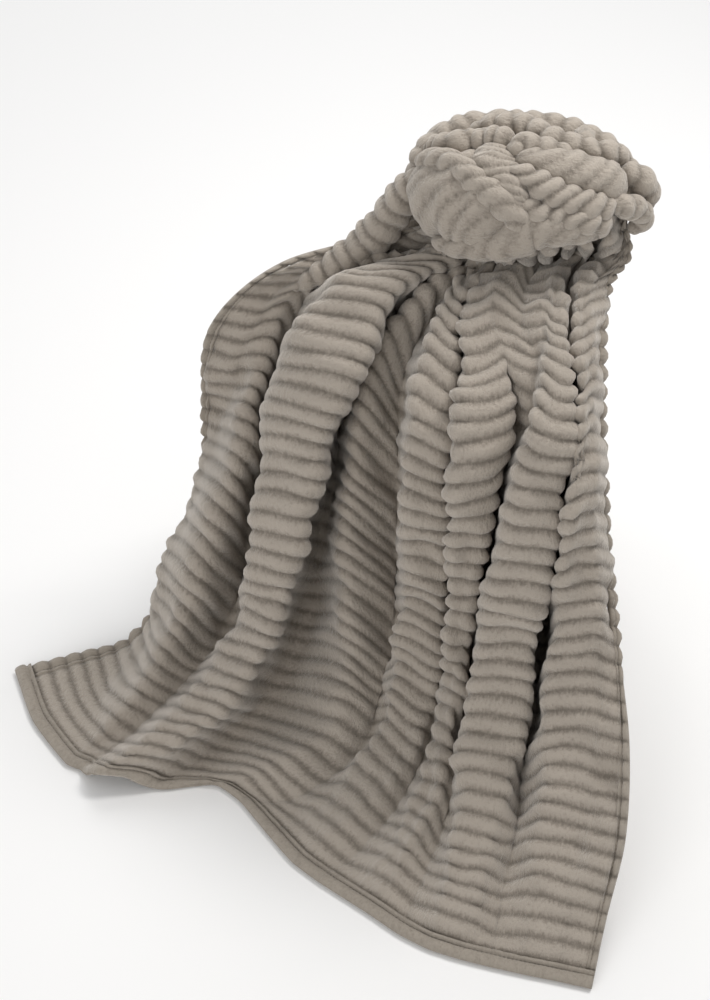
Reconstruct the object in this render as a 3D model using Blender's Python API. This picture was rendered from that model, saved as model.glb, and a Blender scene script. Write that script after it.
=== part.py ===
"""Plush ribbed throw, gathered into a bundle and left to fan out over the floor.

The throw is one rectangular fleece panel with four turned hems, a line of lockstitch in each hem and a blank
care label in the left side seam. Every cloth piece is a stretch of one sheet. The sheet hangs on fold lines:
each line is a crest or a valley that climbs from the front hem to the neck under the bundle, goes over the
bundle and falls behind it to the floor. A point of the cloth is given by s, across from the left side edge,
and t, along from the front hem, both measured on the flat throw. Metres, +Z up, the front towards -Y.
"""

import bmesh
import bpy
import numpy as np
from mathutils import Matrix

# The flat throw
THROW_WIDTH = 1.30
THROW_LENGTH = 1.70
CLOTH_THICKNESS = 0.008
HEM_WIDTH = 0.020
SEAM_GAP = 0.0008           # between the panel and a hem, and between two hems, on the flat throw

# The thread of the hem stitching
THREAD_RADIUS = 0.0006
THREAD_LIFT = 0.0007        # clear space between the thread and the face of the hem
STITCH_INSET = 0.005        # from the hem's inner edge to the stitching
SHARPEST_TURN = 0.4         # cosine of half the sharpest turn that a thread's offset allows for

# The care label
LABEL_LENGTH = 0.050        # from its seam to its free end
LABEL_WIDTH = 0.036         # along the seam
LABEL_THICKNESS = 0.0008
LABEL_GAP = 0.0004          # from the seam edge to the label
LABEL_FROM_REAR = 0.28      # along the left edge, from the rear hem to its lower corner

# The drape
DRAPE_SCALE = (1.0, 1.0, 1.0)        # stretch of the whole drape across, front to back and up
DRAPE_SHIFT = (0.0388, 0.0271)       # puts the middle of the drape's footprint on the origin
FLOOR_SNAP = 0.002                   # cloth nearer the floor than this lies on it
FLOOR_EASE = 0.012                   # the height over which it eases off the floor
FRONT_LENGTH = 0.74                  # cloth between the front hem and the bundle
REAR_LENGTH = 0.50                   # cloth between the bundle and the rear hem

# The neck, where the cloth is drawn together under the bundle
NECK_X = (0.055, 0.295)
NECK_Y = (0.118, 0.198)              # front and rear
NECK_Z = 0.510
NECK_PLEAT = (0.016, 0.022)          # how much further in and lower a valley lies than a crest
NECK_WRAP = (0.050, 0.15)            # how far the left end lies back, and the share of the width that bends to it

# The bundle
BUNDLE_X = (0.040, 0.318)
BUNDLE_Y = 0.150
BUNDLE_Z = 0.570
BUNDLE_RADII = (0.098, 0.082)        # front to back and up, at its middle
BUNDLE_END = 0.42                    # share of the radii that is left at its two ends
BUNDLE_PLEAT = 0.006
BUNDLE_TURN = (-35.0, 15.0, 58.0, 100.0, 145.0, 195.0)   # degrees round the bundle, from the front

# The rear fall: its run to the floor, and how far each fold line leans back (or in, below zero) of it
REAR_X = (-0.150, 0.270)
REAR_PROFILE = ((0.228, 0.420), (0.262, 0.270), (0.290, 0.130), (0.314, 0.030), (0.338, 0.000), (0.378, 0.000))
REAR_FOLD = 0.030
REAR_LEAN = (0.2, 0.9, 0.1, -0.9, -0.5, 0.8, 1.0, -0.7, -1.0, 0.3, 1.0, 0.1, -1.0, -0.3, 0.9, 0.4, -0.8, 0.1)

# Mesh fineness
COLUMNS_A_FOLD = 3
ROWS = 38
NORMAL_STEPS = (0.004, 0.022)

# The fold lines of the front, left to right, each from the hem up to the shoulder: a crest leans out, a
# valley leans in. The two side edges count as crests.
CREST = 1
VALLEY = -1
FRONT_FOLDS = (
    (CREST, ((-0.400, 0.015, 0.000), (-0.325, 0.045, 0.000), (-0.252, 0.072, 0.018), (-0.209, 0.112, 0.098),
             (-0.174, 0.140, 0.208), (-0.174, 0.148, 0.300), (-0.160, 0.150, 0.400), (-0.080, 0.165, 0.470))),
    (VALLEY, ((-0.370, -0.070, 0.000), (-0.305, -0.022, 0.000), (-0.248, 0.018, 0.030), (-0.226, 0.060, 0.095),
              (-0.190, 0.100, 0.185), (-0.147, 0.124, 0.280), (-0.127, 0.128, 0.375), (-0.060, 0.162, 0.458))),
    (CREST, ((-0.325, -0.140, 0.000), (-0.275, -0.085, 0.015), (-0.235, -0.040, 0.050), (-0.195, -0.010, 0.110),
             (-0.165, 0.015, 0.190), (-0.130, 0.055, 0.280), (-0.102, 0.125, 0.365), (-0.048, 0.158, 0.452))),
    (VALLEY, ((-0.308, -0.150, 0.000), (-0.248, -0.098, 0.010), (-0.190, -0.035, 0.030), (-0.145, 0.030, 0.060),
              (-0.120, 0.085, 0.130), (-0.105, 0.135, 0.220), (-0.085, 0.175, 0.310), (-0.035, 0.180, 0.430))),
    (CREST, ((-0.288, -0.178, 0.020), (-0.245, -0.160, 0.042), (-0.185, -0.105, 0.070), (-0.135, -0.065, 0.130),
             (-0.115, -0.045, 0.220), (-0.105, -0.005, 0.310), (-0.090, 0.035, 0.400), (-0.025, 0.075, 0.500))),
    (CREST, ((-0.258, -0.178, 0.016), (-0.205, -0.155, 0.044), (-0.135, -0.120, 0.080), (-0.095, -0.085, 0.140),
             (-0.065, -0.060, 0.230), (-0.045, -0.030, 0.320), (-0.005, 0.000, 0.430), (0.045, 0.060, 0.500))),
    (VALLEY, ((-0.210, -0.180, 0.000), (-0.145, -0.110, 0.010), (-0.090, -0.040, 0.030), (-0.060, 0.015, 0.080),
              (-0.045, 0.060, 0.140), (-0.030, 0.095, 0.230), (0.000, 0.105, 0.350), (0.060, 0.115, 0.450))),
    (CREST, ((-0.148, -0.172, 0.000), (-0.085, -0.172, 0.025), (-0.020, -0.140, 0.050), (-0.003, -0.090, 0.095),
             (-0.010, -0.050, 0.175), (-0.012, -0.010, 0.295), (0.012, 0.035, 0.410), (0.070, 0.080, 0.485))),
    (CREST, ((-0.112, -0.215, 0.000), (-0.055, -0.222, 0.010), (0.010, -0.165, 0.040), (0.038, -0.100, 0.085),
             (0.033, -0.060, 0.165), (0.025, -0.025, 0.300), (0.040, 0.020, 0.415), (0.090, 0.082, 0.482))),
    (VALLEY, ((-0.070, -0.295, 0.000), (-0.020, -0.250, 0.010), (0.030, -0.165, 0.030), (0.060, -0.090, 0.080),
              (0.055, -0.030, 0.165), (0.052, 0.010, 0.290), (0.068, 0.062, 0.390), (0.105, 0.110, 0.460))),
    (CREST, ((-0.025, -0.330, 0.000), (0.010, -0.290, 0.020), (0.050, -0.225, 0.060), (0.070, -0.160, 0.120),
             (0.075, -0.130, 0.210), (0.075, -0.090, 0.340), (0.085, -0.020, 0.440), (0.120, 0.065, 0.500))),
    (VALLEY, ((0.010, -0.365, 0.000), (0.035, -0.295, 0.010), (0.065, -0.215, 0.040), (0.090, -0.120, 0.090),
              (0.100, -0.055, 0.160), (0.105, 0.000, 0.280), (0.110, 0.060, 0.390), (0.135, 0.115, 0.460))),
    (CREST, ((0.040, -0.395, 0.000), (0.065, -0.335, 0.030), (0.080, -0.265, 0.070), (0.105, -0.195, 0.150),
             (0.120, -0.150, 0.240), (0.130, -0.100, 0.350), (0.130, -0.035, 0.450), (0.145, 0.065, 0.505))),
    (VALLEY, ((0.075, -0.415, 0.000), (0.090, -0.335, 0.010), (0.105, -0.235, 0.040), (0.130, -0.130, 0.080),
              (0.155, -0.040, 0.140), (0.165, 0.015, 0.260), (0.160, 0.065, 0.360), (0.160, 0.115, 0.460))),
    (CREST, ((0.120, -0.430, 0.000), (0.120, -0.370, 0.030), (0.130, -0.300, 0.080), (0.145, -0.235, 0.160),
             (0.170, -0.185, 0.240), (0.190, -0.130, 0.360), (0.200, -0.080, 0.450), (0.190, 0.040, 0.510))),
    (VALLEY, ((0.170, -0.445, 0.000), (0.165, -0.365, 0.010), (0.170, -0.265, 0.040), (0.185, -0.150, 0.080),
              (0.210, -0.050, 0.140), (0.235, 0.030, 0.240), (0.245, 0.070, 0.340), (0.225, 0.110, 0.460))),
    (CREST, ((0.205, -0.455, 0.000), (0.210, -0.395, 0.030), (0.215, -0.325, 0.090), (0.225, -0.260, 0.170),
             (0.235, -0.205, 0.260), (0.235, -0.160, 0.370), (0.235, -0.080, 0.450), (0.240, 0.040, 0.505))),
    (CREST, ((0.240, -0.465, 0.000), (0.260, -0.395, 0.030), (0.280, -0.340, 0.090), (0.285, -0.265, 0.160),
             (0.275, -0.185, 0.230), (0.265, -0.105, 0.310), (0.260, -0.025, 0.410), (0.270, 0.080, 0.485))),
)


def blend(pair, share):
    """The value a share of the way from the first of a pair to the second."""
    return pair[0] + (pair[1] - pair[0]) * share


def smooth_curve(points, steps):
    """Points read from a Catmull-Rom curve through the given points, so many to each span."""
    padded = np.vstack([2 * points[0] - points[1], points, 2 * points[-1] - points[-2]])
    shares = np.linspace(0.0, 1.0, steps, endpoint=False)[:, None]
    spans = []
    for before, start, end, after in zip(padded, padded[1:], padded[2:], padded[3:]):
        slope = (end - before) / 2
        next_slope = (after - start) / 2
        squared = shares**2
        cubed = shares**3
        span = (2 * cubed - 3 * squared + 1) * start + (cubed - 2 * squared + shares) * slope
        spans.append(span + (3 * squared - 2 * cubed) * end + (cubed - squared) * next_slope)
    return np.vstack([*spans, points[-1:]])


def neck_point(across, side, rear):
    """Where a fold line passes the neck, on the front or the rear of it."""
    inward = NECK_PLEAT[0] * (side == VALLEY)
    wrap = NECK_WRAP[0] * max(0.0, 1 - across / NECK_WRAP[1]) ** 2
    y = NECK_Y[1] - inward if rear else NECK_Y[0] + wrap + inward
    return (blend(NECK_X, across), y, NECK_Z - NECK_PLEAT[1] * (side == VALLEY))


def bundle_points(across, side):
    """A fold line's way over the bundle, from the front to the rear."""
    roundness = np.sqrt(1 - (2 * across - 1) ** 2)
    share = BUNDLE_END + (1 - BUNDLE_END) * roundness
    depth = BUNDLE_RADII[0] * share + BUNDLE_PLEAT * side
    height = BUNDLE_RADII[1] * share + BUNDLE_PLEAT * side
    points = []
    for turn in np.radians(BUNDLE_TURN):
        y = BUNDLE_Y - depth * np.cos(turn)
        points.append((blend(BUNDLE_X, across), y, BUNDLE_Z + height * np.sin(turn)))
    return points


def rear_points(across, lean):
    """A fold line's fall behind the bundle, from below the neck to the rear hem."""
    points = []
    for y, z in REAR_PROFILE:
        fall = 1 - z / NECK_Z
        x = blend((blend(NECK_X, across), blend(REAR_X, across)), fall)
        points.append((x, y + REAR_FOLD * lean * (0.3 + 0.7 * fall), z))
    return points


def fold_line(index):
    """The whole way of one fold line, front hem to rear hem, and its length at each of its points."""
    front_side, front = FRONT_FOLDS[index]
    side = VALLEY if index % 2 else CREST
    across = index / (len(FRONT_FOLDS) - 1)
    way = [*front, neck_point(across, front_side, False), *bundle_points(across, side)]
    way += [neck_point(across, side, True), *rear_points(across, REAR_LEAN[index])]
    curve = smooth_curve(np.array(way) * DRAPE_SCALE, steps=16)
    steps = np.linalg.norm(np.diff(curve, axis=0), axis=1)
    return curve, np.concatenate([[0.0], np.cumsum(steps)])


def way_along(length, t):
    """How far along a fold line of this length the cloth at t lies: true at both falls, drawn in between."""
    rear_start = THROW_LENGTH - REAR_LENGTH
    known_t = (0.0, FRONT_LENGTH, rear_start, THROW_LENGTH)
    known_way = (0.0, FRONT_LENGTH, length - REAR_LENGTH, length)
    return np.interp(t, known_t, known_way)


class Sheet:
    """The middle surface of the draped cloth."""

    def __init__(self):
        self.folds = [fold_line(index) for index in range(len(FRONT_FOLDS))]
        self.fold_s = np.linspace(0.0, THROW_WIDTH, len(self.folds))

    def row(self, t, s_values):
        """The points of the cloth across one row."""
        knots = []
        for curve, ways in self.folds:
            way = way_along(ways[-1], t)
            knots.append([np.interp(way, ways, curve[:, axis]) for axis in range(3)])
        steps = 24
        dense = smooth_curve(np.array(knots), steps)
        dense_s = np.interp(np.arange(len(dense)) / steps, np.arange(len(self.fold_s)), self.fold_s)
        return np.stack([np.interp(s_values, dense_s, dense[:, axis]) for axis in range(3)], axis=1)

    def grid(self, s_values, t_values):
        """The points of a stretch of cloth, as rows along t of columns along s."""
        points = np.array([self.row(t, s_values) for t in t_values])
        points[..., :2] += DRAPE_SHIFT
        lift_off = np.clip((points[..., 2] - FLOOR_SNAP) / FLOOR_EASE, 0.0, 1.0)
        points[..., 2] = points[..., 2] * lift_off + CLOTH_THICKNESS / 2
        return points

    def normals(self, s_values, t_values):
        """The outward normals over the same stretch, from a short step along s and half a row along t."""
        s_step, t_step = NORMAL_STEPS
        right = self.grid(np.minimum(s_values + s_step, THROW_WIDTH), t_values)
        left = self.grid(np.maximum(s_values - s_step, 0.0), t_values)
        up = self.grid(s_values, np.minimum(t_values + t_step, THROW_LENGTH))
        down = self.grid(s_values, np.maximum(t_values - t_step, 0.0))
        normals = np.cross(right - left, up - down)
        return normals / np.linalg.norm(normals, axis=2, keepdims=True)


def spread(values, low, high):
    """The fixed grid values that lie inside a range, with the range's own ends."""
    margin = SEAM_GAP
    inside = [value for value in values if low + margin < value < high - margin]
    return np.array([low, *inside, high])


def cloth_mesh(name, sheet, s_values, t_values):
    """A closed mesh of one stretch of cloth, lofted through the sheet at its thickness."""
    middle = sheet.grid(s_values, t_values)
    offset = sheet.normals(s_values, t_values) * (CLOTH_THICKNESS / 2)
    top = middle + offset
    bottom = middle - offset
    on_floor = (middle[..., 2] <= CLOTH_THICKNESS / 2)
    bottom[..., 2] = np.where(on_floor, 0.0, np.maximum(bottom[..., 2], 0.0))
    build = bmesh.new()
    top_verts = [[build.verts.new(point) for point in row] for row in top]
    bottom_verts = [[build.verts.new(point) for point in row] for row in bottom]
    loft_sides(build, top_verts, bottom_verts)
    bmesh.ops.triangulate(build, faces=build.faces[:])
    bmesh.ops.recalc_face_normals(build, faces=build.faces[:])
    mesh = bpy.data.meshes.new(name)
    build.to_mesh(mesh)
    build.free()
    return mesh


def loft_sides(build, top, bottom):
    """Faces over the top and the bottom of two matching grids of vertices, and round their rim."""
    for row, next_row in zip(top, top[1:]):
        for column in range(len(row) - 1):
            build.faces.new((row[column], row[column + 1], next_row[column + 1], next_row[column]))
    for row, next_row in zip(bottom, bottom[1:]):
        for column in range(len(row) - 1):
            build.faces.new((row[column], next_row[column], next_row[column + 1], row[column + 1]))
    for top_rim, bottom_rim in zip(rim_pairs(top), rim_pairs(bottom)):
        build.faces.new((*reversed(top_rim), *bottom_rim))


def rim_pairs(grid):
    """The pairs of neighbouring vertices round the rim of a grid."""
    ring = [*grid[0], *[row[-1] for row in grid[1:]], *reversed(grid[-1][:-1])]
    ring += [row[0] for row in reversed(grid[1:-1])]
    return list(zip(ring, [*ring[1:], ring[0]]))


def new_collection(name):
    """A collection linked to the scene."""
    collection = bpy.data.collections.new(name)
    bpy.context.scene.collection.children.link(collection)
    return collection


def new_material(name, colour, roughness):
    """A Principled material of one plain colour."""
    material = bpy.data.materials.new(name)
    material.use_nodes = True
    shader = material.node_tree.nodes["Principled BSDF"]
    shader.inputs["Base Color"].default_value = (*colour, 1.0)
    shader.inputs["Roughness"].default_value = roughness
    shader.inputs["Metallic"].default_value = 0.0
    return material


def add_object(name, data, material, collection):
    """A named object of the part, with its own material."""
    data.materials.append(material)
    part = bpy.data.objects.new(name, data)
    collection.objects.link(part)
    return part


def add_panel(sheet, s_values, t_values, collection):
    """The ribbed panel, inside the four hems."""
    edge = HEM_WIDTH + SEAM_GAP
    across = spread(s_values, edge, THROW_WIDTH - edge)
    along = spread(t_values, edge, THROW_LENGTH - edge)
    mesh = cloth_mesh("throw_panel", sheet, across, along)
    add_object("throw_panel", mesh, new_material("pile_fabric", (0.30, 0.27, 0.23), 0.9), collection)


def add_hems(sheet, s_values, t_values, collection):
    """The four turned hems: front and rear run the full width, the sides run between them."""
    inner = HEM_WIDTH + SEAM_GAP
    seam = HEM_WIDTH - STITCH_INSET
    cross = np.array([0.0, seam, HEM_WIDTH])
    full = spread(s_values, 0.0, THROW_WIDTH)
    along = spread(t_values, inner, THROW_LENGTH - inner)
    stretches = {
        "hem_front": (full, cross),
        "hem_rear": (full, THROW_LENGTH - cross[::-1]),
        "hem_left": (cross, along),
        "hem_right": (THROW_WIDTH - cross[::-1], along),
    }
    for name, (across, down) in stretches.items():
        mesh = cloth_mesh(name, sheet, across, down)
        add_object(name, mesh, new_material(f"{name}_fabric", (0.27, 0.24, 0.20), 0.85), collection)


def add_stitching(sheet, s_values, t_values, collection):
    """A line of thread along each hem, laid just over the hem's outer face."""
    seam = HEM_WIDTH - STITCH_INSET
    full = s_values[1:-1]
    along = t_values[1:-1]
    lines = {
        "stitch_front": (full, np.array([seam])),
        "stitch_rear": (full, np.array([THROW_LENGTH - seam])),
        "stitch_left": (np.array([seam]), along),
        "stitch_right": (np.array([THROW_WIDTH - seam]), along),
    }
    for name, (across, down) in lines.items():
        lift = CLOTH_THICKNESS / 2 + THREAD_LIFT + THREAD_RADIUS
        seam_points = sheet.grid(across, down).reshape(-1, 3)
        normals = sheet.normals(across, down).reshape(-1, 3)
        add_thread(name, seam_points + normals * lift / turn_cosines(seam_points), collection)


def turn_cosines(points):
    """The cosine of half the turn at each point of a line: a line offset by its inverse keeps its distance."""
    runs = np.diff(points, axis=0)
    runs /= np.linalg.norm(runs, axis=1, keepdims=True)
    cosines = np.sqrt((1 + np.sum(runs[1:] * runs[:-1], axis=1)) / 2)
    return np.concatenate([[1.0], np.maximum(cosines, SHARPEST_TURN), [1.0]])[:, None]


def add_thread(name, points, collection):
    """A thread through the given points."""
    curve = bpy.data.curves.new(name, "CURVE")
    curve.dimensions = "3D"
    curve.bevel_depth = THREAD_RADIUS
    curve.bevel_resolution = 1
    curve.use_fill_caps = True
    spline = curve.splines.new("POLY")
    spline.points.add(len(points) - 1)
    for spline_point, point in zip(spline.points, points):
        spline_point.co = (*point, 1.0)
    add_object(name, curve, new_material(f"{name}_thread", (0.33, 0.30, 0.26), 0.6), collection)


def add_label(sheet, collection):
    """The care label: a small plate held by its inner edge in the left side seam, standing out sideways."""
    low = THROW_LENGTH - LABEL_FROM_REAR
    ends = sheet.grid(np.array([0.0, HEM_WIDTH]), np.array([low, low + LABEL_WIDTH]))
    lower = ends[0, 0]
    upper = ends[1, 0]
    seam = (upper - lower) / np.linalg.norm(upper - lower)
    outward = (ends[0, 0] - ends[0, 1]) + (ends[1, 0] - ends[1, 1])
    outward -= seam * outward.dot(seam)
    outward /= np.linalg.norm(outward)
    normal = np.cross(seam, outward)
    pivot = (lower + upper) / 2 + outward * (LABEL_GAP + LABEL_THICKNESS / 2)
    build = bmesh.new()
    bmesh.ops.create_cube(build, size=1.0)
    bmesh.ops.scale(build, vec=(LABEL_LENGTH, LABEL_WIDTH, LABEL_THICKNESS), verts=build.verts[:])
    bmesh.ops.translate(build, vec=(LABEL_LENGTH / 2, 0.0, 0.0), verts=build.verts[:])
    mesh = bpy.data.meshes.new("care_label")
    build.to_mesh(mesh)
    build.free()
    label = add_object("care_label", mesh, new_material("label_ribbon", (0.75, 0.74, 0.70), 0.5), collection)
    axes = Matrix((outward, seam, normal)).transposed().to_4x4()
    label.matrix_world = Matrix.Translation(pivot) @ axes


def main():
    """Builds the throw."""
    for old in list(bpy.data.objects):
        bpy.data.objects.remove(old)
    collection = new_collection("ribbed_throw")
    sheet = Sheet()
    s_values = np.linspace(0.0, THROW_WIDTH, (len(FRONT_FOLDS) - 1) * COLUMNS_A_FOLD + 1)
    t_values = np.linspace(0.0, THROW_LENGTH, ROWS + 1)
    add_panel(sheet, s_values, t_values, collection)
    add_hems(sheet, s_values, t_values, collection)
    add_stitching(sheet, s_values, t_values, collection)
    add_label(sheet, collection)


main()
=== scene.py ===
"""The draped plush throw, dressed as ribbed fleece on a plain floor in soft light.

The cloth is one sheet over fold lines. A point of it is given by s, across from the left side edge, and t,
along from the front hem, both in metres on the flat throw.
"""

import logging
import math
from dataclasses import dataclass
from enum import Enum, IntEnum

import bmesh
import bpy
import numpy as np
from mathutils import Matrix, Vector

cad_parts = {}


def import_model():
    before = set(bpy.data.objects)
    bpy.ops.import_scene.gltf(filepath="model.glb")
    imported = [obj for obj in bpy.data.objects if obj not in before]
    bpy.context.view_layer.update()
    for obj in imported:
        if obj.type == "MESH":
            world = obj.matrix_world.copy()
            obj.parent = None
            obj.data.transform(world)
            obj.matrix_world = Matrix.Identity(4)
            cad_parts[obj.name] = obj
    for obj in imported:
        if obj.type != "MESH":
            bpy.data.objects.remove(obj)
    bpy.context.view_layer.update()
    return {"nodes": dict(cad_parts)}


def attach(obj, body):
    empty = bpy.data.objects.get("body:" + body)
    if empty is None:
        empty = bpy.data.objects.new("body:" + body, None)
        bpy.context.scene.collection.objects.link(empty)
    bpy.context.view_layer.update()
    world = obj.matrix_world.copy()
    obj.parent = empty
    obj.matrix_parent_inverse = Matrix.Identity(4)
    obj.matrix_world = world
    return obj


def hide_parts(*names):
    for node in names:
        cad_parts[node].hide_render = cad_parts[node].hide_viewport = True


LOG = logging.getLogger("throw")

# The flat throw
THROW_WIDTH = 1.30
THROW_LENGTH = 1.70
HEM_WIDTH = 0.020
SEAM_GAP = 0.0008                    # from a hem's inner edge to the first groove
RIB_PITCH = 0.020
HEM_TUCK = 0.003                     # how far the panel runs into a hem
RIB_COUNT = int((THROW_LENGTH - 2 * (HEM_WIDTH + SEAM_GAP)) / RIB_PITCH) + 1
LEAST_ROW = 0.001                    # the rows keep at least this far from the last one

# The drape
DRAPE_SHIFT = (0.0388, 0.0271)       # from the fold lines' origin to the object's
MID_HEIGHT = 0.004                   # how far the middle surface is raised over the fold lines
FLOOR_SNAP = 0.002                   # up to this height the cloth lies flat
FLOOR_EASE = 0.012                   # over this height more it lifts off
FRONT_LENGTH = 0.74                  # of the cloth in front of the bundle
REAR_LENGTH = 0.50                   # of the cloth behind it
NECK_X = (0.055, 0.295)              # of the left and the right edge
NECK_Y = (0.118, 0.198)              # of the front and the rear
NECK_Z = 0.510
NECK_PLEAT = (0.016, 0.022)          # how far a valley runs inwards and down
NECK_WRAP = (0.050, 0.15)            # how far the left edge goes back, and over what share of the width
BUNDLE_X = (0.075, 0.290)            # of the left and the right edge
BUNDLE_Y = 0.150
BUNDLE_Z = 0.565
BUNDLE_RADII = (0.068, 0.056)        # front to rear, and upwards
BUNDLE_END = 0.30                    # what is left of them at its two ends, as a share
BUNDLE_PLEAT = 0.012
BUNDLE_TURN = (-35.0, 15.0, 58.0, 100.0, 145.0, 195.0)      # degrees, front to rear
REAR_X = (-0.150, 0.270)             # of the left and the right edge, at the hem
REAR_PROFILE = (                     # (y, z), from below the neck to the hem
    (0.228, 0.420), (0.262, 0.270), (0.290, 0.130), (0.314, 0.030), (0.338, 0.000), (0.378, 0.000),
)
REAR_FOLD = 0.036
REAR_LEAN = (                        # how far each fold line leans back, in REAR_FOLD
    0.2, 0.8, 0.4, -0.7, -0.8, 0.4, 1.0, 0.2, -1.0, -0.6, 0.7, 0.9, -0.3, -1.0, 0.0, 0.9, 0.5, -0.4, -0.8,
    0.0, 0.1,
)
NECK_SWING = 0.3                     # what share of that lean there is at the neck
CURVE_STEPS = 16                     # points in each span of a fold line

# How roundly the cloth turns at each fold line: the pull of its tangent, in chords
FOLD_ROUND = (
    0.50, 0.55, 0.70, 0.55, 0.55, 0.55, 0.75, 0.60, 0.40, 0.45, 0.60, 0.40, 0.45, 0.50, 0.45, 0.45, 0.55, 0.40,
    0.45, 0.60, 0.50,
)


class Side(IntEnum):
    """Where a fold line runs: outermost on a fold, or innermost between two. The value is its sign."""

    CREST = 1
    VALLEY = -1


CREST, VALLEY = Side

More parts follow.
